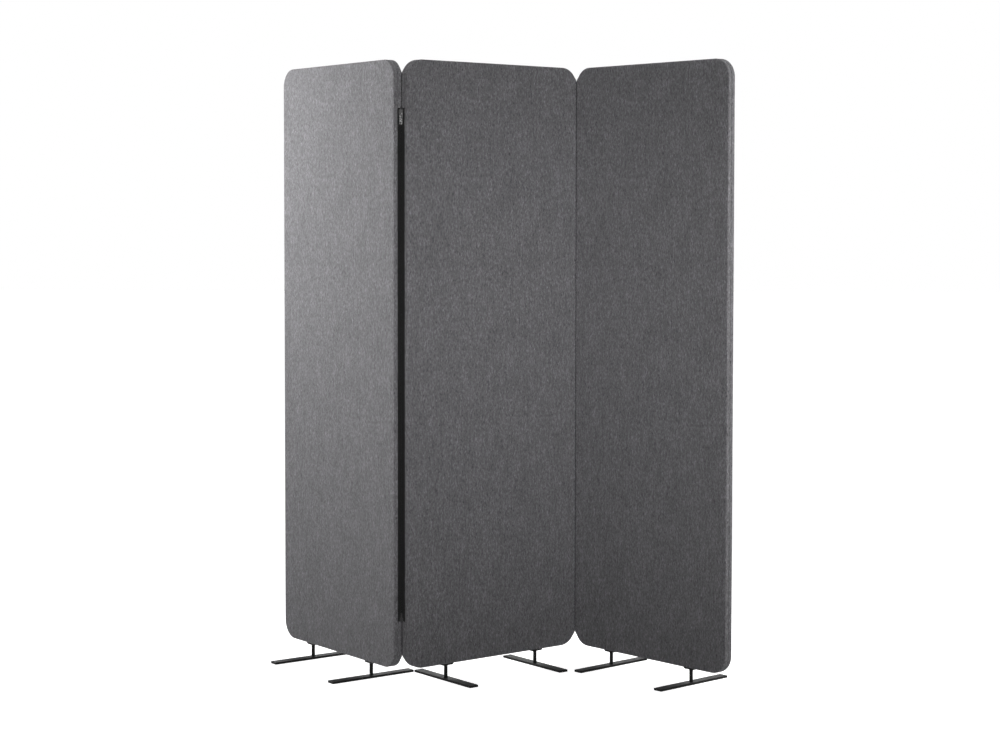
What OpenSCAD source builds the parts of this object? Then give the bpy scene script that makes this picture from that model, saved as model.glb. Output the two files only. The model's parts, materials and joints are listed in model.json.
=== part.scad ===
// Acoustic divider screen: three fabric panels that zip together edge to edge and fold either way.
// Each panel stands on two flat steel feet. The frame's origin is on the floor, under the middle.
// X runs to the right as seen from the front, Y runs away from the viewer and Z runs up.

/* [Panels] */
// Width of one panel over its covers
panel_w = 580; // [500:5:800]
// Height of one panel over its covers
panel_h = 1631; // [1200:1:2000]
// Thickness of one panel over its covers
panel_t = 26; // [25:0.5:32]
// Height of a panel's lower edge above the floor
panel_lift = 45; // [30:1:80]
// Radius of a panel's four corners, seen from the front
corner_r = 50; // [40:1:80]
// Rounding between a panel's face and its edge
edge_r = 2.5; // [2:0.25:4]
// Thickness of the fabric covers
cover_t = 1.2; // [0.8:0.1:1.6]
// Thickness of the felt sheet under each cover
felt_t = 5; // [3:0.25:6]

/* [Frame] */
// Width of the frame's tube, seen from the front
tube_w = 20; // [16:0.5:25]
// Wall of the frame's tube
tube_wall = 1.5; // [1:0.1:2]
// Room between the frame and the cover's edge
frame_gap = 0.3; // [0.2:0.05:0.6]
// Room between two layers inside a panel
layer_gap = 0.2; // [0.1:0.05:0.3]

/* [Folding] */
// Heading of the middle panel, anticlockwise from X
middle_panel_angle = 38.25; // [10:0.25:60]
// Fold at the left zip, where 0 is straight
left_fold_angle = 91.5; // [60:0.5:91.5]
// Fold at the right zip, where 0 is straight
right_fold_angle = 86; // [60:0.5:91.5]
// Furthest fold to either side
fold_limit_angle = 91.5; // [91.5:0.25:94]
// Room between the corners of two panels at the furthest fold
corner_gap = 0.4; // [0.35:0.05:2]

/* [Feet] */
// Length of a foot's flat bar
bar_l = 260; // [200:5:300]
// Width of the flat bar
bar_w = 28; // [20:1:40]
// Thickness of the flat bar
bar_t = 6; // [4:0.5:8]
// Rounding of the bar's corners, seen from above
bar_r = 1.5; // [1:0.25:3]
// Bevel along the bar's upper edges
bar_bevel = 0.5; // [0.3:0.1:1]
// Diameter of the post that stands on the bar
post_d = 10; // [8:0.5:10]
// Size of the welds round the post's two ends
weld = 1.2; // [0.8:0.1:1.2]
// Length of the plate on top of the post
plate_l = 40; // [40:1:60]
// Width of that plate
plate_w = 20; // [19:1:24]
// Thickness of that plate
plate_t = 4.5; // [4:0.25:5]
// Height of that plate's upright rim, above its slanting ends
plate_rim = 1.5; // [1:0.1:2]
// How far those ends slant in
plate_slant = 5; // [4:0.25:5]
// Corner radius of that plate
plate_r = 3; // [1:0.5:5]
// Room between two feet at the furthest fold, along the panel
foot_gap = 0.5; // [0.5:0.25:5]

/* [Foot screws] */
// Distance between the two screws of a foot
screw_pitch = 21; // [20.5:0.25:21.5]
// Diameter of a screw's shank
screw_d = 4; // [4:0.25:5]
// Length of a screw with its countersunk head
screw_l = 18; // [16:0.5:19]
// Diameter of a screw's head
head_d = 8; // [7.5:0.25:8.5]
// Height of the rim of a screw's head
head_rim = 0.3; // [0.2:0.05:0.4]
// Width across the flats of the socket in the head
socket_w = 2.5; // [2:0.25:3]
// Depth of that socket
socket_deep = 1.3; // [1:0.1:1.5]
// Room round a shank in the holes that it passes through
hole_gap = 0.3; // [0.2:0.05:0.5]
// Outer diameter of the threaded bushes in the frame
bush_d = 7; // [6.5:0.25:9]
// Length of those bushes
bush_l = 10; // [8:0.5:13]
// Room between a bush or a screw and what it fits
close_fit = 0.05; // [0.02:0.01:0.1]

/* [Zips] */
// Distance between a zip's end and the panel's end
zip_margin = 130; // [80:5:200]
// Thickness of a zip's woven tape
tape_t = 0.7; // [0.5:0.05:0.8]
// Strip beside a panel in which the tape bends
flex_gap = 0.8; // [0.75:0.05:1]
// Distance between a tape's inner edge and the zip's middle
tape_in = 1.4; // [1.2:0.05:1.8]
// Half the width of the closed teeth
teeth_reach = 3.2; // [2.8:0.1:3.4]
// Thickness of the teeth
teeth_t = 2.4; // [1.8:0.1:2.6]
// Distance between two teeth of one row
tooth_pitch = 5; // [3:0.5:10]
// How far a tooth reaches past the zip's middle
tooth_tip = 0.7; // [0.4:0.05:0.8]
// Room between the teeth of the two rows
tooth_gap = 0.2; // [0.1:0.05:0.3]

/* [Zip ends] */
// Width of the box at a zip's lower end
box_w = 9; // [8:0.25:10]
// Thickness of that box
box_t = 4.6; // [4:0.1:4.8]
// Height of that box
box_h = 9; // [7:0.5:14]
// Floor of that box under the pin
box_floor = 2; // [1:0.25:3]
// Height of the pins above the box
pin_h = 12; // [8:0.5:16]
// Width of a pin
pin_w = 2; // [1.8:0.1:2.4]
// Thickness of a pin
pin_t = 1.8; // [1.4:0.1:2]
// Room round the loose pin in its box
pin_gap = 0.15; // [0.1:0.05:0.2]
// Height of the two stops at a zip's upper end
stop_h = 3; // [2:0.25:5]
// Distance between the stops and the tape's upper end
stop_drop = 1; // [0:0.25:5]

/* [Slider] */
// Height of a slider
slider_h = 17; // [14:0.5:20]
// Width of a slider's upper part
slider_w = 10.6; // [10:0.1:10.6]
// Width of a slider's lower end
slider_low_w = 9; // [8.6:0.1:9.4]
// Thickness of a slider's plates
slider_t = 1; // [0.8:0.05:1]
// Room between a slider and what it runs on
slider_gap = 0.3; // [0.2:0.05:0.4]
// Width of the loop that holds the pull
loop_w = 2.8; // [2:0.1:3.2]
// Height of that loop along the slider
loop_h = 8.4; // [7:0.2:9]
// Thickness of that loop
loop_t = 1.1; // [0.8:0.1:1.4]
// Rounding of that loop
loop_r = 1.2; // [0.6:0.1:1.4]

/* [Pull] */
// Length of a pull tab below its pivot
pull_l = 31; // [24:0.5:36]
// Width of a pull tab
pull_w = 8; // [7:0.1:8]
// Thickness of a pull tab
pull_t = 1.2; // [1:0.05:1.2]
// Corner radius of a pull tab's lower end
pull_r = 3; // [1:0.25:4]
// Room between a pull tab and its slider
pull_gap = 0.2; // [0.2:0.05:0.25]
// Diameter of the hole in a pull tab
pull_hole_d = 4.4; // [2:0.1:4.8]
// Distance between that hole's middle and the lower end
pull_hole_up = 5.6; // [4.4:0.1:8]

/* [Hidden] */
$fn = 48;

fabric_colour = [0.52, 0.52, 0.53];
felt_colour = [0.75, 0.75, 0.73];
core_colour = [0.86, 0.84, 0.78];
steel_colour = [0.62, 0.63, 0.65];
black_colour = [0.08, 0.08, 0.09];
zinc_colour = [0.45, 0.46, 0.47];

// What a cut runs past the faces it opens
overrun = edge_r / 8;
half_t = panel_t / 2;
top_z = panel_lift + panel_h;

straight_angle = 180;

// How far the rounded end of a panel reaches past its hinge line at the furthest fold
rounding_loss = edge_r * (sin(fold_limit_angle / 2) + cos(fold_limit_angle / 2) - 1);
corner_reach = half_t * sin(fold_limit_angle / 2) - rounding_loss;
// The zips bridge this distance, so that folded panels touch neither each other nor a slider
hinge_w = 2 * corner_reach + corner_gap;

// The posts stand far enough in for the feet to clear each other at the furthest fold
half_opening_angle = (straight_angle - fold_limit_angle) / 2;
meeting_reach = hinge_w / 2 / cos(fold_limit_angle / 2);
post_in = bar_w / 2 + bar_l / 2 / tan(half_opening_angle) + foot_gap - meeting_reach;

// Height of a foot's plate, and of the cone of the screws' heads in it
plate_z = panel_lift - plate_t;
head_cone = (head_d - screw_d) / 2;

// Layers inside a panel, from its middle outwards
tube_d = 2 * (half_t - cover_t - felt_t - 2 * layer_gap);
frame_in = cover_t + frame_gap;
frame_r = corner_r - frame_in;
core_in = frame_in + tube_w + layer_gap;

// Headings of the panels and of the zips between them, in plan
left_panel_angle = middle_panel_angle - left_fold_angle;
right_panel_angle = middle_panel_angle - right_fold_angle;
left_zip_angle = (left_panel_angle + middle_panel_angle) / 2;
right_zip_angle = (right_panel_angle + middle_panel_angle) / 2;

function heading(a) = [cos(a), sin(a)];
function across(a) = [-sin(a), cos(a)];

// Each panel's left end and heading, with the middle panel about the plan's origin
middle_start = -panel_w / 2 * heading(middle_panel_angle);
middle_end = -middle_start;
left_end = middle_start - hinge_w * heading(left_zip_angle);
left_start = left_end - panel_w * heading(left_panel_angle);
right_start = middle_end + hinge_w * heading(right_zip_angle);
LEFT = [left_start, left_panel_angle];
MIDDLE = [middle_start, middle_panel_angle];
RIGHT = [right_start, right_panel_angle];

// The plan's corners: the rounded ends of the panels and the square ends of the bars
function at(place, p) = place[0] + p[0] * heading(place[1]) + p[1] * across(place[1]);
function post_places() = [post_in, panel_w - post_in];
round_spots = [
    for (place = [LEFT, MIDDLE, RIGHT], x = [edge_r, panel_w - edge_r], y = [-1, 1])
        at(place, [x, y * (half_t - edge_r)])
];
bar_spots = [
    for (place = [LEFT, MIDDLE, RIGHT], x = post_places(), i = [-1, 1], j = [-1, 1])
        at(place, [x + i * bar_w / 2, j * bar_l / 2])
];
function lowest(k) = min(
    min([for (p = round_spots) p[k]]) - edge_r,
    min([for (p = bar_spots) p[k]])
);
function highest(k) = max(
    max([for (p = round_spots) p[k]]) + edge_r,
    max([for (p = bar_spots) p[k]])
);
plan_middle = [(lowest(0) + highest(0)) / 2, (lowest(1) + highest(1)) / 2];

// Heights along a zip
zip_low = panel_lift + zip_margin;
zip_high = top_z - zip_margin;
box_top = zip_low + box_h;
pin_top = box_top + pin_h;
stop_low = zip_high - stop_drop - stop_h;
slider_top = stop_low - slider_gap;
slider_low = slider_top - slider_h;
pivot_z = slider_low + slider_h / 2;
// How far the slider runs down from where it closes the zip
slider_travel = slider_low - box_top - slider_gap;

// Depths through a slider, from the zip's middle to its front
channel_half = teeth_t / 2 + slider_gap;
slider_front = channel_half + slider_t;
loop_room = pull_t + 2 * pull_gap;
pivot_y = slider_front + pull_gap + pull_t / 2;
// The window in the pull, which swings over the slider's loop
window_w = loop_w + 4 * pull_gap;
window_l = loop_h / 2 + 4 * pull_gap;
tooth_root = tooth_tip + tooth_gap;

// Places of one panel and of one zip, and turns from flat work to upright pieces

module on_panel(place) {
    start = place[0] - plan_middle;
    translate([start[0], start[1], 0]) rotate(place[1]) children();
}

module on_zip(middle, turn) {
    spot = middle - plan_middle;
    translate([spot[0], spot[1], 0]) rotate(turn) children();
}

module on_left_zip() {
    on_zip(middle_start - hinge_w / 2 * heading(left_zip_angle), left_zip_angle) children();
}

// The right zip's slider is on the back, on the open side of its fold
module on_right_zip() {
    on_zip(
        middle_end + hinge_w / 2 * heading(right_zip_angle), right_zip_angle + straight_angle
    ) children();
}

// Stands up work drawn flat about the panel's middle, with its depth towards the viewer
module upright() {
    translate([panel_w / 2, 0, panel_lift + panel_h / 2]) rotate([90, 0, 0]) children();
}

module at_screws() {
    for (x = post_places(), side = [-1, 1]) {
        translate([x + side * screw_pitch / 2, 0, 0]) children();
    }
}

// Flat shapes with rounded corners

module rounded(w, h, r) {
    square([w - 2 * r, h], center = true);
    square([w, h - 2 * r], center = true);
    for (x = [-1, 1], y = [-1, 1]) {
        translate([x * (w / 2 - r), y * (h / 2 - r)]) circle(r);
    }
}

module edge_block(reach, deep, r) {
    square([reach - r, deep]);
    square([reach, deep - r]);
    translate([reach - r, deep - r]) circle(r);
}

// Runs a flat section, drawn outwards from a corner's centre, round a rounded rectangle
module around(w, h, r) {
    for (k = [0 : 3]) {
        side = k % 2 == 0 ? w : h;
        other = k % 2 == 0 ? h : w;
        rotate(90 * k) {
            translate([side / 2 - r, other / 2 - r, 0]) rotate_extrude(angle = 90) children();
            translate([side / 2 - r, other / 2 - r, 0])
                rotate([90, 0, 0]) linear_extrude(other - 2 * r) children();
        }
    }
}

// Panel pieces, in the panel's own frame: X along it, its front at minus half its thickness

module cover_section() {
    difference() {
        edge_block(corner_r, half_t, edge_r);
        translate([-overrun, -overrun]) edge_block(
            corner_r - cover_t + overrun, half_t - cover_t + overrun, edge_r - cover_t
        );
    }
}

module front_cover() {
    color(fabric_colour) difference() {
        upright() {
            around(panel_w, panel_h, corner_r) cover_section();
            translate([0, 0, half_t - cover_t]) linear_extrude(cover_t)
                square([panel_w - 2 * corner_r, panel_h - 2 * corner_r], center = true);
        }
        at_screws() translate([0, 0, panel_lift - overrun])
            cylinder(d = screw_d + 2 * hole_gap, h = cover_t + 2 * overrun);
    }
}

module back_cover() {
    mirror([0, 1, 0]) front_cover();
}

module front_felt() {
    color(felt_colour) upright() translate([0, 0, tube_d / 2 + layer_gap])
        linear_extrude(felt_t)
            rounded(panel_w - 2 * edge_r, panel_h - 2 * edge_r, corner_r - edge_r);
}

module back_felt() {
    mirror([0, 1, 0]) front_felt();
}

module core() {
    color(core_colour) upright() translate([0, 0, -tube_d / 2])
        linear_extrude(tube_d)
            rounded(panel_w - 2 * core_in, panel_h - 2 * core_in, corner_r - core_in);
}

module tube_section() {
    difference() {
        translate([frame_r - tube_w, -tube_d / 2]) square([tube_w, tube_d]);
        translate([frame_r - tube_w + tube_wall, -tube_d / 2 + tube_wall])
            square([tube_w - 2 * tube_wall, tube_d - 2 * tube_wall]);
    }
}

module frame() {
    color(steel_colour) difference() {
        upright() around(panel_w - 2 * frame_in, panel_h - 2 * frame_in, frame_r)
            tube_section();
        at_screws() translate([0, 0, panel_lift + frame_in - overrun])
            cylinder(d = bush_d + 2 * close_fit, h = tube_wall + 2 * overrun);
    }
}

module foot_bushes() {
    color(zinc_colour) at_screws() translate([0, 0, panel_lift + frame_in]) difference() {
        cylinder(d = bush_d, h = bush_l);
        translate([0, 0, -overrun])
            cylinder(d = screw_d + 2 * close_fit, h = bush_l + 2 * overrun);
    }
}

// Outline of a bar's side, whose upper edges are bevelled
module bar_side(w) {
    polygon([
        [-w / 2, 0], [w / 2, 0], [w / 2, bar_t - bar_bevel], [w / 2 - bar_bevel, bar_t],
        [-w / 2 + bar_bevel, bar_t], [-w / 2, bar_t - bar_bevel]
    ]);
}

module foot_bar(x) {
    color(black_colour) translate([x, 0, 0]) intersection() {
        linear_extrude(bar_t) rounded(bar_w, bar_l, bar_r);
        rotate([90, 0, 0]) linear_extrude(bar_l, center = true) bar_side(bar_w);
        rotate([90, 0, 90]) linear_extrude(bar_w, center = true) bar_side(bar_l);
    }
}

// Outline of a plate's long side, whose ends slant in below the rim
module plate_side() {
    polygon([
        [-plate_l / 2 + plate_slant, 0], [plate_l / 2 - plate_slant, 0],
        [plate_l / 2, plate_t - plate_rim], [plate_l / 2, plate_t],
        [-plate_l / 2, plate_t], [-plate_l / 2, plate_t - plate_rim]
    ]);
}

// A countersunk head from its flat end up, and larger all round by the room given
module screw_head(room) {
    cylinder(d = head_d + 2 * room, h = head_rim);
    translate([0, 0, head_rim])
        cylinder(d1 = head_d + 2 * room, d2 = screw_d + 2 * room, h = head_cone);
}

// The post carries the plate that the panel stands on
module foot_post(x) {
    color(black_colour) translate([x, 0, 0]) {
        translate([0, 0, bar_t]) {
            cylinder(d = post_d, h = plate_z - bar_t);
            cylinder(d1 = post_d + 2 * weld, d2 = post_d, h = weld);
        }
        translate([0, 0, plate_z - weld]) cylinder(d1 = post_d, d2 = post_d + 2 * weld, h = weld);
        translate([0, 0, plate_z]) difference() {
            intersection() {
                linear_extrude(plate_t) rounded(plate_l, plate_w, plate_r);
                rotate([90, 0, 0]) linear_extrude(plate_w, center = true) plate_side();
            }
            for (side = [-1, 1]) {
                translate([side * screw_pitch / 2, 0, 0]) {
                    screw_head(close_fit);
                    translate([0, 0, -overrun])
                        cylinder(d = screw_d + 2 * hole_gap, h = plate_t + 2 * overrun);
                }
            }
        }
    }
}

module foot_screws() {
    color(zinc_colour) at_screws() translate([0, 0, plate_z]) difference() {
        union() {
            screw_head(0);
            translate([0, 0, head_rim]) cylinder(d = screw_d, h = screw_l - head_rim);
        }
        translate([0, 0, -overrun])
            cylinder(d = socket_w / cos(30), h = socket_deep + overrun, $fn = 6);
    }
}

// Zip pieces, in the zip's own frame: X across it, the slider's pull in front, at minus Y

module band(x, y, low, high) {
    translate([x[0], y[0], low]) cube([x[1] - x[0], y[1] - y[0], high - low]);
}

module tape_b() {
    color(black_colour)
        band([tape_in, hinge_w / 2 - flex_gap], [-tape_t / 2, tape_t / 2], zip_low, zip_high);
}

module tape_a() {
    mirror([1, 0, 0]) tape_b();
}

// The slot by which teeth, pins and stops grip the two tapes' inner edges
module tape_slots() {
    for (side = [0, 1]) {
        mirror([side, 0, 0]) band(
            [tape_in, hinge_w], [-tape_t / 2, tape_t / 2],
            zip_low - overrun, zip_high + overrun
        );
    }
}

// A comb whose teeth point towards the other row, starting at the height given
module teeth_row(first) {
    tooth_h = tooth_pitch / 2 - tooth_gap;
    low = pin_top + tooth_gap;
    high = stop_low - tooth_gap;
    count = floor((high - low - tooth_pitch) / tooth_pitch);
    tooth_points = [
        for (i = [0 : count - 1], p = [[0, 0], [1, 0], [1, 1], [0, 1]])
            [
                p[0] == 0 ? tooth_root : -tooth_tip,
                low + first + i * tooth_pitch + p[1] * tooth_h
            ]
    ];
    difference() {
        translate([0, teeth_t / 2, 0]) rotate([90, 0, 0]) linear_extrude(teeth_t) polygon(concat(
            [[tooth_root, low]], tooth_points,
            [[tooth_root, high], [teeth_reach, high], [teeth_reach, low]]
        ));
        tape_slots();
    }
}

module teeth_b() {
    color(black_colour) teeth_row(tooth_gap);
}

module teeth_a() {
    color(black_colour) mirror([1, 0, 0]) teeth_row(tooth_gap + tooth_pitch / 2);
}

// The box and the fixed pin on one tape; the loose pin on the other tape plugs into it
module zip_box() {
    color(black_colour) difference() {
        union() {
            band([-box_w / 2, box_w / 2], [-box_t / 2, box_t / 2], zip_low, box_top);
            band([-pin_gap * 2 - pin_w, -pin_gap * 2], [-pin_t / 2, pin_t / 2], box_top, pin_top);
        }
        band(
            [pin_gap, pin_gap * 3 + pin_w], [-pin_t / 2 - pin_gap, pin_t / 2 + pin_gap],
            zip_low + box_floor, box_top + overrun
        );
        tape_slots();
    }
}

module zip_pin() {
    color(black_colour) difference() {
        band(
            [pin_gap * 2, pin_gap * 2 + pin_w], [-pin_t / 2, pin_t / 2],
            zip_low + box_floor + pin_gap, pin_top
        );
        tape_slots();
    }
}

module zip_stops() {
    color(black_colour) difference() {
        for (side = [0, 1]) {
            mirror([side, 0, 0]) band(
                [tooth_root, teeth_reach], [-teeth_t / 2, teeth_t / 2],
                stop_low, stop_low + stop_h
            );
        }
        tape_slots();
    }
}

// Half the slider's outline, from the line given out to its side
module slider_side(from) {
    waist_z = slider_low + slider_h / 2;
    polygon([
        [from, slider_low], [slider_low_w / 2, slider_low], [slider_w / 2, waist_z],
        [slider_w / 2, slider_top], [from, slider_top]
    ]);
}

// One plate of the slider with the flanges that guide the teeth
module slider_shell() {
    for (side = [0, 1]) {
        mirror([side, 0, 0]) {
            translate([0, -channel_half, 0]) rotate([90, 0, 0])
                linear_extrude(slider_t) slider_side(0);
            translate([0, -tape_t / 2 - slider_gap, 0]) rotate([90, 0, 0])
                linear_extrude(slider_front - tape_t / 2 - slider_gap)
                    slider_side(teeth_reach + slider_gap);
        }
    }
}

// The loop over the slider's front plate, drawn with depth across and height up
module slider_loop() {
    deep = loop_room + loop_t;
    translate([-loop_w / 2, -slider_front, pivot_z]) rotate([90, 0, 90])
        linear_extrude(loop_w) difference() {
            translate([-deep / 2, 0]) rounded(deep, loop_h, loop_r);
            translate([-loop_room, -loop_h / 2 + loop_t])
                square([loop_room + overrun, loop_h - 2 * loop_t]);
        }
}

// The loop's feet are square where they meet the plate
module loop_feet() {
    for (side = [0, 1]) {
        translate([0, 0, pivot_z]) mirror([0, 0, side])
            band(
                [-loop_w / 2, loop_w / 2], [-slider_front - loop_r, -slider_front],
                loop_h / 2 - loop_t, loop_h / 2
            );
    }
}

module zip_slider() {
    color(black_colour) {
        slider_shell();
        mirror([0, 1, 0]) slider_shell();
        slider_loop();
        loop_feet();
    }
}

module pull_outline() {
    difference() {
        union() {
            translate([0, -pull_l / 2]) rounded(pull_w, pull_l, pull_r);
            translate([-pull_w / 2, -pull_l / 2]) square([pull_w, pull_l / 2]);
        }
        translate([-window_w / 2, -window_l]) square([window_w, window_l + overrun]);
        translate([0, -pull_l + pull_hole_up]) circle(d = pull_hole_d);
    }
}

module zip_pull() {
    color(zinc_colour) translate([0, -pivot_y, pivot_z]) {
        translate([0, pull_t / 2, 0]) rotate([90, 0, 0]) linear_extrude(pull_t) pull_outline();
        translate([-pull_w / 2, 0, 0]) rotate([0, 90, 0]) cylinder(d = pull_t, h = pull_w);
    }
}

on_panel(LEFT) front_cover();  // left_front_cover
on_panel(LEFT) back_cover();  // left_back_cover
on_panel(LEFT) front_felt();  // left_front_felt
on_panel(LEFT) back_felt();  // left_back_felt
on_panel(LEFT) core();  // left_core
on_panel(LEFT) frame();  // left_frame
on_panel(LEFT) foot_bushes();  // left_foot_bushes
on_panel(LEFT) foot_bar(post_in);  // left_foot_a_bar
on_panel(LEFT) foot_post(post_in);  // left_foot_a_post
on_panel(LEFT) foot_bar(panel_w - post_in);  // left_foot_b_bar
on_panel(LEFT) foot_post(panel_w - post_in);  // left_foot_b_post
on_panel(LEFT) foot_screws();  // left_foot_screws
on_panel(MIDDLE) front_cover();  // middle_front_cover
on_panel(MIDDLE) back_cover();  // middle_back_cover
on_panel(MIDDLE) front_felt();  // middle_front_felt
on_panel(MIDDLE) back_felt();  // middle_back_felt
on_panel(MIDDLE) core();  // middle_core
on_panel(MIDDLE) frame();  // middle_frame
on_panel(MIDDLE) foot_bushes();  // middle_foot_bushes
on_panel(MIDDLE) foot_bar(post_in);  // middle_foot_a_bar
on_panel(MIDDLE) foot_post(post_in);  // middle_foot_a_post
on_panel(MIDDLE) foot_bar(panel_w - post_in);  // middle_foot_b_bar
on_panel(MIDDLE) foot_post(panel_w - post_in);  // middle_foot_b_post
on_panel(MIDDLE) foot_screws();  // middle_foot_screws
on_panel(RIGHT) front_cover();  // right_front_cover
on_panel(RIGHT) back_cover();  // right_back_cover
on_panel(RIGHT) front_felt();  // right_front_felt
on_panel(RIGHT) back_felt();  // right_back_felt
on_panel(RIGHT) core();  // right_core
on_panel(RIGHT) frame();  // right_frame
on_panel(RIGHT) foot_bushes();  // right_foot_bushes
on_panel(RIGHT) foot_bar(post_in);  // right_foot_a_bar
on_panel(RIGHT) foot_post(post_in);  // right_foot_a_post
on_panel(RIGHT) foot_bar(panel_w - post_in);  // right_foot_b_bar
on_panel(RIGHT) foot_post(panel_w - post_in);  // right_foot_b_post
on_panel(RIGHT) foot_screws();  // right_foot_screws
on_left_zip() tape_a();  // left_zip_tape_a
on_left_zip() tape_b();  // left_zip_tape_b
on_left_zip() teeth_a();  // left_zip_teeth_a
on_left_zip() teeth_b();  // left_zip_teeth_b
on_left_zip() zip_box();  // left_zip_box
on_left_zip() zip_pin();  // left_zip_pin
on_left_zip() zip_stops();  // left_zip_stops
on_left_zip() zip_slider();  // left_zip_slider
on_left_zip() zip_pull();  // left_zip_pull
on_right_zip() tape_a();  // right_zip_tape_a
on_right_zip() tape_b();  // right_zip_tape_b
on_right_zip() teeth_a();  // right_zip_teeth_a
on_right_zip() teeth_b();  // right_zip_teeth_b
on_right_zip() zip_box();  // right_zip_box
on_right_zip() zip_pin();  // right_zip_pin
on_right_zip() zip_stops();  // right_zip_stops
on_right_zip() zip_slider();  // right_zip_slider
on_right_zip() zip_pull();  // right_zip_pull
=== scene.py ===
"""The looks of a three-panel acoustic divider screen: fabric, zips, feet, studio and camera."""

import json
import math

import bmesh
import bpy
from mathutils import Matrix, Vector, noise


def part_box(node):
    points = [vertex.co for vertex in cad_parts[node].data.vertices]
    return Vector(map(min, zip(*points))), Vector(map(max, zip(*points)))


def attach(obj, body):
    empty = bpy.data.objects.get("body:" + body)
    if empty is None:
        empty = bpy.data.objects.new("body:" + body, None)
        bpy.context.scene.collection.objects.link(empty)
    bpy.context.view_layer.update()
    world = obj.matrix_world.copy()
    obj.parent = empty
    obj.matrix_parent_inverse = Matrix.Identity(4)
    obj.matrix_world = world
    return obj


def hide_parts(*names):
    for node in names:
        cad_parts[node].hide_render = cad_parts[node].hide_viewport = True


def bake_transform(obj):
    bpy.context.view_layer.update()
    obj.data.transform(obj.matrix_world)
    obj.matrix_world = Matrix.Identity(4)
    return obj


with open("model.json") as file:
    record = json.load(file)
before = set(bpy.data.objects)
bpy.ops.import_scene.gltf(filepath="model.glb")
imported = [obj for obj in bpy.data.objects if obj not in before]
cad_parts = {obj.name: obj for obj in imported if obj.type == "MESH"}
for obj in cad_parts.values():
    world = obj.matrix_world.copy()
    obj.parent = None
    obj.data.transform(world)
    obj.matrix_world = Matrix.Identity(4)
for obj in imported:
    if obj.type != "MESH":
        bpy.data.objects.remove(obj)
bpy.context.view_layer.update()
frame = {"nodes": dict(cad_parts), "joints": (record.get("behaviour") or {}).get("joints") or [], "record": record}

MM = 0.001
SIDES = ("left", "middle", "right")
ZIPS = ("left", "right")
# The zip at each panel's low and high end
ZIPPED = {"left": (None, "left"), "middle": ("left", "right"), "right": ("right", None)}
# The covers that meet where the panels fold at each zip
CLOSED = {"left": "back", "right": "front"}

# Panels: the source's named sizes that the frame doesn't give
CORNER_R = 50 * MM
EDGE_R = 2.5 * MM
COVER_T = 1.2 * MM
# The seam between the two covers sinks in by this much, and opens this far to each side
SEAM_DEEP = 1.4 * MM
SEAM_HALF = 1.2 * MM
# Where the lip beside the seam ends, and how far in from a face's edge its own shape takes over
LIP_END = 2.6 * SEAM_HALF
EDGE_FADE = 4 * EDGE_R
# Soft waves of the faces, and the puckers where the cloth is gathered round the corners
WAVE_DEEP = 0.3 * MM
WAVE_LONG = 160 * MM
WAVE_HIGH = 1.6 * WAVE_LONG
PUCKER_DEEP = 0.3 * MM
PUCKER_LONG = 8 * MM
PUCKER_FACE_SHARE = 0.35
# What sets the waves and puckers of one panel, and of its two covers, apart
PANEL_SEED = 7.3
LAYER_SEED = 3.1
# How finely a cover is divided: its flat field, and the arcs round its corners and over its edges
FACE_STEP = 20 * MM
ARC_STEPS = 32
ROUND_STEPS = 5
# How far the soft corners overlap where two folded panels press against each other, how far round
# their arcs the cloth still closes the gap, and between which outward shares along the panel the
# bulge fades in
PRESS = 0.02 * MM
CLOSED_RECESS = 1.8 * MM
CLOSED_FADE = (0.84, 0.97)
# The felt's and the core's eased edges, the fabric's tint, and how near a surface has to be for
# the painted shade of a crease to darken the fabric
FELT_EASE = 0.8 * MM
FABRIC_BLUE = 0.05
CREASE_SHADE_REACH = 8 * MM
# Points closer than this are one, and what the edges of small metal and plastic nodes are eased by
WELD_REACH = 0.001 * MM
NODE_EASE = 0.2 * MM

# Tapes: how thick they are, where they start under the teeth, and how they bend into the seam
TAPE_T = 0.7 * MM
TAPE_IN = 1.4 * MM
TAPE_BEND = 1.2 * MM
TAPE_TUCK = 1.2 * MM
BEND_STEPS = 6
# Teeth
TOOTH_PITCH = 3.4 * MM
TOOTH_EASE = 0.25 * MM

# The picture in pixels, and the camera as solved on the photograph's panel edges and feet: its
# place in metres, and its turns in degrees
PICTURE_W = 1000
PICTURE_H = 750
SENSOR_W = 36
FOCAL_PX = 2107.5
AXIS_X_PX = 560
AXIS_Y_PX = 312
CAMERA_AT = (0.1106, -5.8048, 1.2568)
CAMERA_DOWN = 2.566
CAMERA_LEFT = -0.6425
CAMERA_ROLL = 0.1431

# Lamps: name, place, what it is aimed at, size, watts, and the angle over which its light fans out
LAMPS = (
    ("left_softbox", (-2.3, 1.0, 1.6), (-0.43, 0.04, 1.7), (0.5, 0.3), 36.5, 120),
    ("right_softbox", (3.0, 0.1, 1.4), (0.62, -0.27, 1.5), (0.5, 0.3), 25, 120),
    ("front_fill", (0.3, -4.5, 1.12), (0.0, 0.0, 1.12), (3.0, 0.5), 10.6, 42),
    ("back_fill", (-0.3, 4.2, 3.0), (0.0, 0.0, 1.0), (3.0, 0.5), 9, 50),
    ("overhead", (0.1, 0.5, 5.0), (0.05, 0.1, 0.0), (1.0, 1.0), 7, 60),
)
# The world's light at the horizon and overhead, and how steeply up a ray points to find the latter
WORLD_LEVEL = 0.28
WORLD_TOP_LEVEL = 0.056
WORLD_TOP_FROM = 0.6
# Half the floor's side, its own white near the object, and between which distances that rises to 1
FLOOR_REACH = 30
FLOOR_GLOW = 0.9
GLOW_NEAR = 1.0
GLOW_FAR = 4.0


# Frames of the panels and the zips, in which their pieces are drawn

def middle_of(node):
    low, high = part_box(node)
    return (low + high) / 2


def joint(name):
    return next(j for j in frame["joints"] if j["name"] == name)


def place_at(origin, along):
    """A frame at origin with X along that level direction and Z up."""
    across = Vector((-along.y, along.x, 0))
    place = Matrix((along, across, Vector((0, 0, 1)))).transposed().to_4x4()
    place.translation = origin
    return place


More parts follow.
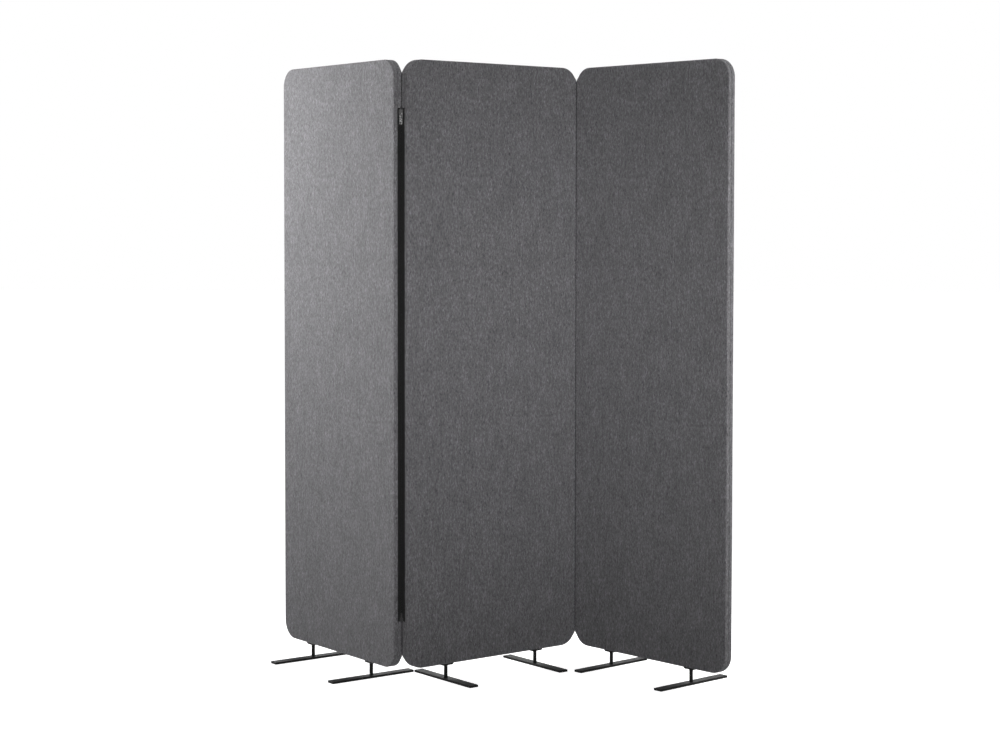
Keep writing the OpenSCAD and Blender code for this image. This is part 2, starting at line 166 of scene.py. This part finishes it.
def panel_place(side):
    """A panel's frame: its origin at the panel's middle, X along it and Y to its back."""
    first = middle_of(f"{side}_foot_a_post")
    second = middle_of(f"{side}_foot_b_post")
    origin = (first + second) / 2
    origin.z = middle_of(f"{side}_front_cover").z
    return place_at(origin, (second - first).normalized())


def zip_place(side):
    """A zip's frame: its origin on the floor, X from the outer panel to the middle one."""
    inner = Vector(joint(f"{side}_fold")["pos_m"])
    outer = Vector(joint(f"{side}_fold_outer")["pos_m"])
    origin = (inner + outer) / 2
    origin.z = 0
    return place_at(origin, (inner - outer).normalized())


def local_box(node, place):
    """A node's lowest and highest corners in that frame."""
    back = place.inverted()
    points = [back @ v.co for v in frame["nodes"][node].data.vertices]
    low = Vector(min(p[k] for p in points) for k in range(3))
    high = Vector(max(p[k] for p in points) for k in range(3))
    return low, high


# Mesh helpers

def make_piece(name, points, faces, place, material, smooth=True):
    mesh = bpy.data.meshes.new(name)
    mesh.from_pydata(points, [], faces)
    work = bmesh.new()
    work.from_mesh(mesh)
    bmesh.ops.remove_doubles(work, verts=work.verts, dist=WELD_REACH)
    bmesh.ops.recalc_face_normals(work, faces=work.faces)
    work.to_mesh(mesh)
    work.free()
    mesh.polygons.foreach_set("use_smooth", [smooth] * len(mesh.polygons))
    mesh.materials.append(material)
    piece = bpy.data.objects.new(name, mesh)
    piece.matrix_world = place
    bpy.context.scene.collection.objects.link(piece)
    return piece


def ring(half_w, half_h, radius, inset, w_steps, h_steps, arc_steps):
    """Points round a rounded rectangle that lies inset inside the given one: (x, z, outward x,
    outward z, distance round the arc or, on a straight side, None)."""
    reach = radius - inset
    spots = []
    for k in range(4):
        turn = math.pi / 2 * k
        cx = half_w - radius if k in (0, 1) else radius - half_w
        cz = half_h - radius if k in (1, 2) else radius - half_h
        for i in range(arc_steps + 1):
            share = i / arc_steps
            angle = turn - math.pi / 2 * (1 - share)
            out = (math.cos(angle), math.sin(angle))
            arc_run = radius * math.pi / 2 * share
            spots.append((cx + reach * out[0], cz + reach * out[1], *out, arc_run))
        out = (round(math.cos(turn)), round(math.sin(turn)))
        steps = h_steps if k % 2 == 0 else w_steps
        long = 2 * ((half_h if k % 2 == 0 else half_w) - radius)
        for i in range(1, steps):
            run = long * i / steps
            x = cx + reach * out[0] - out[1] * run
            z = cz + reach * out[1] + out[0] * run
            spots.append((x, z, *out, None))
    return spots


def bridge(first, second, count):
    """Quads between two rings of points that start at those indices."""
    return [
        (first + i, first + (i + 1) % count, second + (i + 1) % count, second + i)
        for i in range(count)
    ]


def slab(half_w, half_h, radius, low_y, high_y, ease):
    """Points and faces of a flat sheet with rounded corners and eased edges."""
    points = []
    faces = []
    levels = [(ease, low_y), (0, low_y + ease), (0, high_y - ease), (ease, high_y)]
    for inset, y in levels:
        spots = ring(half_w, half_h, radius, inset, 2, 2, 8)
        points += [(x, y, z) for x, z, *_ in spots]
    count = len(points) // len(levels)
    for k in range(len(levels) - 1):
        faces += bridge(k * count, (k + 1) * count, count)
    faces.append(tuple(range(count)))
    faces.append(tuple(range(3 * count, 4 * count)))
    return points, faces


# Shaders

class Shader:
    """A material, with short ways to add its nodes and to join them."""

    def __init__(self, name, **values):
        self.material = bpy.data.materials.new(name)
        self.material.use_nodes = True
        self.tree = self.material.node_tree
        self.surface = self.tree.nodes["Principled BSDF"]
        for key, value in values.items():
            self.surface.inputs[key.replace("_", " ")].default_value = value

    def add(self, kind, values=None, **settings):
        node = self.tree.nodes.new("ShaderNode" + kind)
        for key, value in settings.items():
            setattr(node, key, value)
        for key, value in (values or {}).items():
            self.put(value, node.inputs[key])
        return node

    def put(self, value, socket):
        if isinstance(value, bpy.types.NodeSocket):
            self.tree.links.new(value, socket)
        else:
            socket.default_value = value

    def math(self, operation, first, second=0.0, third=0.0):
        values = {0: first, 1: second, 2: third}
        return self.add("Math", values, operation=operation).outputs[0]

    def scaled(self, vector, scale):
        return self.add("VectorMath", {0: vector, 1: scale}, operation="MULTIPLY").outputs[0]

    def noise(self, vector, size_mm, detail=2.0, roughness=0.5):
        """Noise from 0 to 1 with grains of that size along X, Y and Z, from a vector in metres."""
        shrunk = self.scaled(vector, tuple(1 / (s * MM) for s in size_mm))
        values = {"Vector": shrunk, "Scale": 1.0, "Detail": detail, "Roughness": roughness}
        return self.add("TexNoise", values).outputs["Fac"]

    def ramp(self, value, *stops):
        node = self.add("ValToRGB", {"Fac": value})
        band = node.color_ramp
        while len(band.elements) < len(stops):
            band.elements.new(1.0)
        for element, (spot, colour) in zip(band.elements, stops):
            element.position = spot
            element.color = (*colour, 1.0)
        return node.outputs["Color"]

    def blended(self, *parts):
        """0.5 plus each noise's distance from 0.5 times its weight."""
        total = 0.5
        for value, weight in parts:
            total = self.math("MULTIPLY_ADD", self.math("SUBTRACT", value, 0.5), weight, total)
        return total

    def wave(self, value, pitch_mm):
        """A sine from 0 to 1 of that pitch along a length in metres."""
        turned = self.math("MULTIPLY", value, 2 * math.pi / (pitch_mm * MM))
        return self.math("MULTIPLY_ADD", self.math("SINE", turned), 0.5, 0.5)

    def bump(self, height, depth_mm, strength=1.0, normal=None):
        values = {"Height": height, "Distance": depth_mm * MM, "Strength": strength}
        if normal is not None:
            values["Normal"] = normal
        return self.add("Bump", values).outputs["Normal"]

    def finish(self, **links):
        for key, value in links.items():
            self.put(value, self.surface.inputs[key.replace("_", " ")])
        return self.material


def grey(level, blue=0.0):
    """A grey of that linear level, bluer by that share or, below zero, warmer."""
    return (level * (1 + max(-blue, 0) + max(blue, 0) / 3), level, level * (1 + blue))


def cover_fabric():
    """Heathered plain weave: marled yarns both ways, paler and darker nubs, painted shade in creases."""
    s = Shader(
        "cover_fabric", Roughness=0.92, Sheen_Weight=0.1, Sheen_Roughness=0.45,
        Specular_IOR_Level=0.25,
    )
    at = s.add("TexCoord").outputs["Object"]
    upright = s.noise(at, (0.8, 0.8, 8), 3, 0.6)
    level = s.noise(at, (7, 7, 0.8), 3, 0.6)
    flecks = s.noise(at, (2.8, 2.8, 8), 3, 0.6)
    streaks = s.noise(at, (6, 6, 90), 2, 0.5)
    clouds = s.noise(at, (40, 40, 60), 3, 0.6)
    pale = s.noise(s.scaled(at, (1, 1, -1)), (2.6, 2.6, 7), 1, 0.5)
    dark = s.noise(s.scaled(at, (-1, -1, 1)), (2.6, 2.6, 7), 1, 0.5)
    tone = s.blended((upright, 0.6), (level, 0.4), (flecks, 0.9), (streaks, 0.2), (clouds, 0.2))
    tone = s.math("MULTIPLY_ADD", s.ramp(pale, (0.58, grey(0)), (0.7, grey(1))), 0.14, tone)
    tone = s.math("MULTIPLY_ADD", s.ramp(dark, (0.58, grey(0)), (0.7, grey(1))), -0.16, tone)
    colour = s.ramp(
        tone, (0.2, grey(0.065, FABRIC_BLUE)), (0.42, grey(0.155, FABRIC_BLUE)),
        (0.56, grey(0.195, FABRIC_BLUE)), (0.8, grey(0.36, FABRIC_BLUE)),
    )
    # Painted shade: the fabric is darkened wherever another surface comes within reach, in creases, the seam and
    # the clefts where folded panels touch
    crease_occlusion = s.add("AmbientOcclusion", {"Distance": CREASE_SHADE_REACH}, samples=8)
    painted_shade = s.ramp(crease_occlusion.outputs["AO"], (0.5, grey(0.1)), (0.68, grey(1)))
    colour = s.add("VectorMath", {0: colour, 1: painted_shade}, operation="MULTIPLY").outputs[0]
    xyz = s.add("SeparateXYZ", {"Vector": at})
    facing = s.add("SeparateXYZ", {"Vector": s.add("NewGeometry").outputs["Normal"]})
    level_way = s.math("ADD", xyz.outputs["X"], xyz.outputs["Y"])
    top_share = s.math("ABSOLUTE", facing.outputs["Z"])
    upright_way = s.math("MULTIPLY_ADD", xyz.outputs["Y"], top_share, xyz.outputs["Z"])
    weave = s.math("MULTIPLY", s.wave(level_way, 1.3), s.wave(upright_way, 1.3))
    nap = s.noise(at, (0.35, 0.35, 0.35), 2, 0.6)
    height = s.blended((weave, 0.6), (nap, 0.5), (upright, 0.4), (level, 0.3), (flecks, 0.5))
    return s.finish(Base_Color=colour, Normal=s.bump(height, 0.5, 0.6))


def felt_fibres(name, level):
    """Pressed white fibres, for the felt sheets and the core inside a panel."""
    s = Shader(name, Roughness=0.97, Sheen_Weight=0.2, Specular_IOR_Level=0.2)
    at = s.add("TexCoord").outputs["Object"]
    fibres = s.noise(at, (0.6, 5, 5), 4, 0.7)
    tufts = s.noise(at, (6, 6, 6), 3, 0.6)
    tone = s.blended((fibres, 0.8), (tufts, 0.4))
    colour = s.ramp(tone, (0.25, grey(level * 0.75, -0.03)), (0.75, grey(level, -0.03)))
    return s.finish(Base_Color=colour, Normal=s.bump(tone, 0.6, 0.7))


def powder_coat():
    """Black powder coat: a fine orange peel, and a gloss that varies a little."""
    s = Shader("foot_black", Specular_IOR_Level=0.11)
    at = s.add("TexCoord").outputs["Object"]
    peel = s.noise(at, (0.7, 0.7, 0.7), 2, 0.5)
    patches = s.noise(at, (30, 30, 30), 2, 0.5)
    colour = s.ramp(patches, (0.3, grey(0.005)), (0.7, grey(0.009)))
    rough = s.math("MULTIPLY_ADD", patches, 0.14, 0.44)
    return s.finish(Base_Color=colour, Roughness=rough, Normal=s.bump(peel, 0.05, 0.5))


def steel(name, level, rough, along_mm):
    """Plated or drawn steel with fine marks that run the way the long size in along_mm says."""
    s = Shader(name, Metallic=1.0)
    at = s.add("TexCoord").outputs["Object"]
    marks = s.noise(at, along_mm, 3, 0.6)
    stains = s.noise(at, (5, 5, 5), 2, 0.5)
    tone = s.blended((marks, 0.5), (stains, 0.4))
    colour = s.ramp(tone, (0.25, grey(level * 0.8)), (0.75, grey(level)))
    roughness = s.math("MULTIPLY_ADD", tone, 0.2, rough)
    return s.finish(Base_Color=colour, Roughness=roughness, Normal=s.bump(marks, 0.03, 0.4))


def zip_tape():
    """Black woven tape: ribs along it and a twill that turns at each rib, from its UV in metres."""
    s = Shader("zip_tape", Roughness=0.85, Sheen_Weight=0.05, Specular_IOR_Level=0.15)
    uv = s.add("SeparateXYZ", {"Vector": s.add("UVMap", uv_map="tape").outputs["UV"]})
    across = uv.outputs["X"]
    along = uv.outputs["Y"]
    fold = s.math("PINGPONG", across, 1.1 * MM)
    twill = s.wave(s.math("ADD", along, fold), 0.9)
    ribs = s.wave(across, 1.1)
    lint = s.noise(s.add("TexCoord").outputs["UV"], (0.5, 3, 1), 3, 0.7)
    height = s.blended((twill, 0.7), (ribs, 0.5), (lint, 0.4))
    colour = s.ramp(height, (0.2, grey(0.006)), (0.6, grey(0.014)), (0.95, grey(0.03)))
    return s.finish(Base_Color=colour, Normal=s.bump(height, 0.25, 0.7))


def plastic(name, level, rough, shine):
    """Moulded plastic with a faint grain."""
    s = Shader(name, Specular_IOR_Level=shine)
    at = s.add("TexCoord").outputs["Object"]
    grain = s.noise(at, (0.5, 0.5, 0.5), 3, 0.6)
    colour = s.ramp(grain, (0.3, grey(level * 0.8)), (0.7, grey(level * 1.2)))
    roughness = s.math("MULTIPLY_ADD", grain, 0.15, rough)
    return s.finish(Base_Color=colour, Roughness=roughness, Normal=s.bump(grain, 0.03, 0.4))


def lacquered_metal(name, wear_and_glint_level, grain_mm):
    """Black lacquer on metal, brighter in spots here and there: rubbed wear and painted glints."""
    s = Shader(name, Metallic=0.6, Coat_Weight=0.3, Coat_Roughness=0.2)
    at = s.add("TexCoord").outputs["Object"]
    # Painted highlight: the brighter spots are partly rubbed wear and partly painted glints
    wear_and_glints = s.noise(at, grain_mm, 4, 0.65)
    colour = s.ramp(wear_and_glints, (0.45, grey(0.015)), (0.65, grey(wear_and_glint_level)))
    rough = s.math("MULTIPLY_ADD", wear_and_glints, 0.3, 0.18)
    return s.finish(Base_Color=colour, Roughness=rough, Normal=s.bump(wear_and_glints, 0.1, 0.6))


def make_materials():
    return {
        "cover_fabric": cover_fabric(),
        "felt": felt_fibres("felt", 0.6),
        "core": felt_fibres("core", 0.75),
        "frame_steel": steel("frame_steel", 0.55, 0.3, (4, 4, 60)),
        "bush_steel": steel("bush_steel", 0.6, 0.25, (6, 6, 0.3)),
        "foot_black": powder_coat(),
        "screw_steel": steel("screw_steel", 0.2, 0.3, (3, 3, 0.3)),
        "zip_tape": zip_tape(),
        "zip_teeth": plastic("zip_teeth", 0.005, 0.5, 0.1),
        "zip_ends": plastic("zip_ends", 0.012, 0.32, 0.3),
        # The slider's and the pull's brighter spots are rubbed wear and painted glints, strongest on the pull
        "slider_metal": lacquered_metal("slider_metal", 0.06, (1.5, 1.5, 4)),
        "pull_metal": lacquered_metal("pull_metal", 0.3, (3, 3, 5)),
    }


# Panels

def cover_profile(half_t):
    """The outer line of a cover's section, from the seam to the flat face: (inset, depth)."""
    lip = [
        (SEAM_DEEP, 0),
        (SEAM_DEEP * 0.93, SEAM_HALF * 0.25),
        (SEAM_DEEP * 0.6, SEAM_HALF * 0.55),
        (SEAM_DEEP * 0.25, SEAM_HALF),
        (SEAM_DEEP * 0.06, SEAM_HALF * 1.6),
        (0, LIP_END),
        (0, (LIP_END + half_t - EDGE_R) / 2),
    ]
    turns = [math.pi / 2 * i / ROUND_STEPS for i in range(ROUND_STEPS + 1)]
    edge = [(EDGE_R * (1 - math.cos(a)), half_t - EDGE_R * (1 - math.sin(a))) for a in turns]
    face = [(CORNER_R * share, half_t) for share in (0.14, 0.22, 0.34, 0.52, 0.75, 1)]
    return lip + edge + face


def lining_profile(half_t):
    """The inner line of a cover's section, from the face to the seam."""
    radius = EDGE_R - COVER_T
    turns = [math.pi / 2 * i / 3 for i in (3, 2, 1, 0)]
    edge = [(EDGE_R - radius * math.cos(a), half_t - EDGE_R + radius * math.sin(a)) for a in turns]
    lip = [(COVER_T, LIP_END), (SEAM_DEEP + COVER_T, 0)]
    return [(CORNER_R, half_t - COVER_T)] + edge + lip


def pressed_ends(side, layer, half_t):
    """How a cover's corners bulge at the panel's two ends to meet the neighbour's: None, or how far
    along the straight edge, and how much more for each metre that the outline has turned away."""
    bulges = []
    for zipped in ZIPPED[side]:
        if zipped is None or layer != CLOSED[zipped]:
            bulges.append(None)
            continue
        inner = Vector(joint(f"{zipped}_fold")["pos_m"])
        outer = Vector(joint(f"{zipped}_fold_outer")["pos_m"])
        middle, folded = (panel_place(panel).to_quaternion() for panel in ("middle", zipped))
        half_turn = middle.rotation_difference(folded).angle / 2
        sine, cosine = math.sin(half_turn), math.cos(half_turn)
        reach = half_t * sine - EDGE_R * (sine + cosine - 1)
        bulge = ((inner - outer).length / 2 - reach) / (sine + cosine) + PRESS
        bulges.append((bulge, cosine / (sine + cosine)))
    return bulges


def end_bulge(bulge, out_x):
    """How far a pressed end bulges where its outline faces outward by that share of X."""
    if not bulge:
        return 0
    most, per_recess = bulge
    recess = min(CORNER_R * (1 - abs(out_x)), CLOSED_RECESS)
    return (most + recess * per_recess) * smooth_share(abs(out_x), *CLOSED_FADE)


def smooth_share(value, low, high):
    t = min(max((value - low) / (high - low), 0), 1)
    return t * t * (3 - 2 * t)


def face_wave(x, z, inset, seed):
    """How far the face sinks there, from 0 at its edge to the wave's depth."""
    here = Vector((x / WAVE_LONG, z / WAVE_HIGH, seed))
    return WAVE_DEEP * (0.5 + 0.5 * noise.noise(here)) * smooth_share(inset, EDGE_R, CORNER_R)


def pucker(run, inset, depth, half_t, seed):
    """How far the gathered cloth sinks at a corner: most beside the seam, none on the face."""
    if run is None:
        return 0
    arc = CORNER_R * math.pi / 2
    shift = 0.6 * noise.noise(Vector((run / (3 * PUCKER_LONG), seed, 0)))
    fold = 0.5 - 0.5 * math.cos(2 * math.pi * (run / PUCKER_LONG + shift))
    ends = smooth_share(min(run, arc - run), 0, 0.15 * arc)
    nearness = 1 - smooth_share(depth, 0.3 * half_t, half_t)
    on_face = (1 - smooth_share(inset, EDGE_R, EDGE_FADE)) * PUCKER_FACE_SHARE
    by_seam = nearness * smooth_share(depth, 0, SEAM_HALF)
    by_edge = on_face * smooth_share(inset, 0, EDGE_R)
    return PUCKER_DEEP * fold * ends * max(by_seam, by_edge)


def cover_mesh(half_w, half_h, half_t, way, bulges, seed):
    """A cover's points and faces: rings from the seam to the flat field, the field, the lining."""
    w_steps = round(2 * (half_w - CORNER_R) / FACE_STEP)
    h_steps = round(2 * (half_h - CORNER_R) / FACE_STEP)
    points = []
    faces = []

    def add_ring(inset, depth, moved):
        spots = ring(half_w, half_h, CORNER_R, inset, w_steps, h_steps, ARC_STEPS)
        for x, z, out_x, out_z, run in spots:
            sunk = pucker(run, inset, depth, half_t, seed) if moved else 0
            edge_share = 1 - smooth_share(inset, 0, EDGE_R)
            wave = face_wave(x, z, inset, seed) if moved else 0
            bulge = end_bulge(bulges[0 if out_x < 0 else 1], out_x) if moved else 0
            bulge *= smooth_share(depth, 0.2 * half_t, 0.8 * half_t)
            bulge *= 1 - smooth_share(inset, EDGE_R, EDGE_FADE)
            x += math.copysign(bulge, out_x) - out_x * sunk * edge_share
            z -= out_z * sunk * edge_share
            y = depth + bulge - sunk * (1 - edge_share) - wave
            points.append((x, way * y, z))

    outer = cover_profile(half_t)
    lining = lining_profile(half_t)
    for inset, depth in outer:
        add_ring(inset, depth, True)
    for inset, depth in lining:
        add_ring(inset, depth, False)
    count = len(points) // (len(outer) + len(lining))
    for k in range(len(outer) - 1):
        faces += bridge(k * count, (k + 1) * count, count)
    for k in range(len(outer), len(outer) + len(lining) - 1):
        faces += bridge(k * count, (k + 1) * count, count)
    faces += bridge((len(outer) + len(lining) - 1) * count, 0, count)

    def add_field(depth, moved):
        start = len(points)
        for i in range(w_steps + 1):
            for k in range(h_steps + 1):
                x = (half_w - CORNER_R) * (2 * i / w_steps - 1)
                z = (half_h - CORNER_R) * (2 * k / h_steps - 1)
                wave = face_wave(x, z, CORNER_R, seed) if moved else 0
                points.append((x, way * (depth - wave), z))
        for i in range(w_steps):
            for k in range(h_steps):
                a = start + i * (h_steps + 1) + k
                b = a + h_steps + 1
                faces.append((a, a + 1, b + 1, b))

    add_field(half_t, True)
    add_field(half_t - COVER_T, False)
    return points, faces


def dress_panel(side, materials):
    body = f"{side}_panel"
    place = panel_place(side)
    for n, (layer, way) in enumerate((("front", -1), ("back", 1))):
        low, high = local_box(f"{side}_{layer}_cover", place)
        half_w, half_h, half_t = high.x, high.z, max(-low.y, high.y)
        seed = PANEL_SEED * SIDES.index(side) + LAYER_SEED * n
        bulges = pressed_ends(side, layer, half_t)
        points, faces = cover_mesh(half_w, half_h, half_t, way, bulges, seed)
        cover = make_piece(
            f"{side}_{layer}_cover_cloth", points, faces, place,
            materials["cover_fabric"],
        )
        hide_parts(f"{side}_{layer}_cover")
        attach(cover, body)

        low, high = local_box(f"{side}_{layer}_felt", place)
        points, faces = slab(high.x, high.z, CORNER_R - EDGE_R, low.y, high.y, FELT_EASE)
        felt = make_piece(
            f"{side}_{layer}_felt_sheet", points, faces, place, materials["felt"], False
        )
        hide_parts(f"{side}_{layer}_felt")
        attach(felt, body)

    low, high = local_box(f"{side}_core", place)
    points, faces = slab(high.x, high.z, CORNER_R - (half_w - high.x), low.y, high.y, FELT_EASE)
    core = make_piece(f"{side}_core_pad", points, faces, place, materials["core"], False)
    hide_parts(f"{side}_core")
    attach(core, body)


# Zips

def tape_line(hinge_x, into):
    """The tape's middle line in plan, for the side towards X: straight, then bent into the seam."""
    line = [Vector((TAPE_IN, 0))]
    start = Vector((hinge_x - TAPE_BEND, 0))
    corner = Vector((hinge_x, 0))
    end = corner + into * TAPE_TUCK
    for i in range(BEND_STEPS + 1):
        t = i / BEND_STEPS
        line.append(start * (1 - t) ** 2 + corner * 2 * t * (1 - t) + end * t ** 2)
    return line


def dress_tape(side, row, panel, materials):
    """One tape: row b is towards X, row a is its mirror image."""
    place = zip_place(side)
    back = place.inverted()
    way = 1 if row == "b" else -1
    fold = joint(f"{side}_fold" if row == "b" else f"{side}_fold_outer")
    hinge = back @ Vector(fold["pos_m"])
    centre = back @ panel_place(panel).translation
    into = (centre - hinge).xy.normalized()
    into.x *= way
    low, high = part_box(f"{side}_zip_tape_{row}")
    line = tape_line(hinge.x * way, into)
    section = []
    run = 0
    for i, spot in enumerate(line):
        along = (line[min(i + 1, len(line) - 1)] - line[max(i - 1, 0)]).normalized()
        out = Vector((-along.y, along.x)) * TAPE_T / 2
        run += (spot - line[i - 1]).length if i else 0
        section.append((spot + out, spot - out, run))
    outline = [(p, u) for p, _, u in section] + [(p, u) for _, p, u in reversed(section)]
    count = len(outline)
    points = [(p.x * way, p.y, z) for z in (low.z, high.z) for p, _ in outline]
    faces = bridge(0, count, count)
    for base in (0, count):
        for i in range(len(line) - 1):
            a, b = base + i, base + count - 1 - i
            faces.append((a, a + 1, b - 1, b))
    tape = make_piece(
        f"{side}_zip_tape_{row}_woven", points, faces, place,
        materials["zip_tape"], False,
    )
    add_tape_uv(tape, place, [(Vector((p.x * way, p.y)), u) for p, u in outline])
    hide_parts(f"{side}_zip_tape_{row}")
    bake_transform(tape)


def add_tape_uv(tape, place, outline):
    """UV in metres: across the tape by its own run, and up along it."""
    layer = tape.data.uv_layers.new(name="tape")
    for loop in tape.data.loops:
        at = tape.data.vertices[loop.vertex_index].co
        _, run = min(((at.xy - p).length, u) for p, u in outline)
        layer.data[loop.index].uv = (run, at.z)


def tooth_outline():
    """Half of one tooth from its root on the tape to its head: (x, half height)."""
    return [
        (3.2 * MM, 1.15 * MM), (1.3 * MM, 1.25 * MM), (1.05 * MM, 0.5 * MM), (0.2 * MM, 0.42 * MM),
        (-0.25 * MM, 0.95 * MM), (-0.75 * MM, 0.8 * MM), (-0.9 * MM, 0.45 * MM),
    ]


def dress_teeth(side, row, materials):
    """A row of moulded teeth on the tape's edge, each with a neck and a head towards the others."""
    place = zip_place(side)
    way = 1 if row == "b" else -1
    low, high = local_box(f"{side}_zip_teeth_{row}", place)
    half_t = high.y
    half = tooth_outline()
    outline = half + [(x, -h) for x, h in reversed(half)]
    levels = [
        (-half_t, TOOTH_EASE), (TOOTH_EASE - half_t, 0),
        (half_t - TOOTH_EASE, 0), (half_t, TOOTH_EASE),
    ]
    centre_x = sum(x for x, _ in outline) / len(outline)
    first = low.z + TOOTH_PITCH / 2 + (TOOTH_PITCH / 2 if row == "a" else 0)
    teeth = int((high.z - first - TOOTH_PITCH / 2) / TOOTH_PITCH) + 1
    count = len(outline)
    points = []
    faces = []
    for n in range(teeth):
        z = first + n * TOOTH_PITCH
        base = len(points)
        for y, ease in levels:
            shrink = 1 - ease / half[0][1]
            for x, h in outline:
                points.append((way * (centre_x + (x - centre_x) * shrink), y, z + h * shrink))
        for k in range(len(levels) - 1):
            faces += bridge(base + k * count, base + (k + 1) * count, count)
        for k in (0, len(levels) - 1):
            start = base + k * count
            end = start + count - 1
            for i in range(len(half) - 1):
                faces.append((start + i, start + i + 1, end - 1 - i, end - i))
    row_piece = make_piece(
        f"{side}_zip_teeth_{row}_moulded", points, faces, place,
        materials["zip_teeth"], False,
    )
    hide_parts(f"{side}_zip_teeth_{row}")
    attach(row_piece, f"{side}_zip")


def dress_zip(side, materials):
    for row, panel in (("a", side), ("b", "middle")):
        dress_tape(side, row, panel, materials)
        dress_teeth(side, row, materials)


# Nodes that keep their own shape

def ease_edges(obj, width, angle=35):
    """Welds a node's split edges and rounds them a little."""
    weld = obj.modifiers.new("weld", "WELD")
    weld.merge_threshold = WELD_REACH
    bevel = obj.modifiers.new("bevel", "BEVEL")
    bevel.width = width
    bevel.segments = 2
    bevel.limit_method = "ANGLE"
    bevel.angle_limit = math.radians(angle)
    bevel.harden_normals = True


def finish_nodes(materials):
    """Gives each node that still shows its slot's material."""
    slots = {s["node"]: s["material_slot"] for s in frame["record"]["subparts"]}
    for name, obj in frame["nodes"].items():
        if obj.hide_render:
            continue
        obj.data.materials.clear()
        obj.data.materials.append(materials[slots[name]])
        if name.endswith(("_slider", "_pull", "_box")):
            ease_edges(obj, NODE_EASE)


# Studio

def white_share(tree):
    """1 for rays straight from the camera, off a mirror or through glass, and 0 for light."""
    path = tree.nodes.new("ShaderNodeLightPath")
    share = path.outputs["Is Camera Ray"]
    for name in ("Is Glossy Ray", "Is Transmission Ray"):
        most = tree.nodes.new("ShaderNodeMath")
        most.operation = "MAXIMUM"
        tree.links.new(share, most.inputs[0])
        tree.links.new(path.outputs[name], most.inputs[1])
        share = most.outputs[0]
    return share


def make_floor():
    """A pale floor that the camera sees as white but for the object's shadow."""
    mesh = bpy.data.meshes.new("floor")
    square = ((-1, -1), (1, -1), (1, 1), (-1, 1))
    corners = [(x * FLOOR_REACH, y * FLOOR_REACH, 0) for x, y in square]
    mesh.from_pydata(corners, [], [(0, 1, 2, 3)])
    floor = bpy.data.objects.new("floor", mesh)
    bpy.context.scene.collection.objects.link(floor)
    s = Shader("floor_white", Roughness=0.9, Specular_IOR_Level=0.1, Base_Color=(0.8, 0.8, 0.8, 1))
    at = s.add("TexCoord").outputs["Object"]
    away = s.add("VectorMath", {0: at}, operation="LENGTH").outputs["Value"]
    reach = {"From Min": GLOW_NEAR, "From Max": GLOW_FAR, "To Min": FLOOR_GLOW, "To Max": 1.0}
    glow = s.add("MapRange", {"Value": away, **reach})
    white = s.add("Emission", {"Strength": glow.outputs[0]})
    bounce = s.add("BsdfDiffuse", {"Color": (0.35, 0.35, 0.35, 1)})
    bright = s.add("AddShader", {0: s.surface.outputs[0], 1: white.outputs[0]})
    both = s.add("MixShader", {0: white_share(s.tree), 1: bounce.outputs[0], 2: bright.outputs[0]})
    s.put(both.outputs[0], s.tree.nodes["Material Output"].inputs["Surface"])
    mesh.materials.append(s.material)


def make_world():
    """White where it is seen or mirrored; as a light it is dim, and dimmer overhead."""
    world = bpy.data.worlds.new("studio")
    bpy.context.scene.world = world
    world.use_nodes = True
    tree = world.node_tree
    way = tree.nodes.new("ShaderNodeSeparateXYZ")
    tree.links.new(tree.nodes.new("ShaderNodeTexCoord").outputs["Generated"], way.inputs[0])
    fall = tree.nodes.new("ShaderNodeMapRange")
    fall.inputs["From Max"].default_value = WORLD_TOP_FROM
    fall.inputs["To Min"].default_value = WORLD_LEVEL
    fall.inputs["To Max"].default_value = WORLD_TOP_LEVEL
    tree.links.new(way.outputs["Z"], fall.inputs["Value"])
    level = tree.nodes.new("ShaderNodeMapRange")
    tree.links.new(fall.outputs["Result"], level.inputs["To Min"])
    tree.links.new(white_share(tree), level.inputs["Value"])
    background = tree.nodes["Background"]
    background.inputs["Color"].default_value = (1, 1, 1, 1)
    tree.links.new(level.outputs["Result"], background.inputs["Strength"])


def make_light(name, at, aim, size, watts, spread):
    """A rectangular lamp at that place whose light fans out by that many degrees."""
    lamp = bpy.data.lights.new(name, "AREA")
    lamp.shape = "RECTANGLE"
    lamp.size, lamp.size_y = size
    lamp.energy = watts
    lamp.spread = math.radians(spread)
    light = bpy.data.objects.new(name, lamp)
    light.location = at
    light.rotation_mode = "QUATERNION"
    light.rotation_quaternion = (Vector(aim) - Vector(at)).to_track_quat("-Z", "Y")
    bpy.context.scene.collection.objects.link(light)


def make_lights():
    for lamp in LAMPS:
        make_light(*lamp)


def make_camera():
    data = bpy.data.cameras.new("camera")
    data.sensor_width = SENSOR_W
    data.lens = FOCAL_PX * SENSOR_W / PICTURE_W
    data.shift_x = (PICTURE_W / 2 - AXIS_X_PX) / PICTURE_W
    data.shift_y = (AXIS_Y_PX - PICTURE_H / 2) / PICTURE_W
    data.clip_end = 100
    camera = bpy.data.objects.new("camera", data)
    turn = Matrix.Rotation(math.radians(CAMERA_LEFT), 4, "Z")
    tilt = Matrix.Rotation(math.radians(90 - CAMERA_DOWN), 4, "X")
    roll = Matrix.Rotation(math.radians(CAMERA_ROLL), 4, "Z")
    camera.matrix_world = Matrix.Translation(CAMERA_AT) @ turn @ tilt @ roll
    bpy.context.scene.collection.objects.link(camera)
    bpy.context.scene.camera = camera


for default in ("Cube", "Light", "Camera"):
    if default in bpy.data.objects:
        bpy.data.objects.remove(bpy.data.objects[default])

bpy.context.scene.view_settings.view_transform = "Standard"
make_camera()
make_world()
make_lights()
make_floor()
materials = make_materials()
for side in SIDES:
    dress_panel(side, materials)
for side in ZIPS:
    dress_zip(side, materials)
finish_nodes(materials)
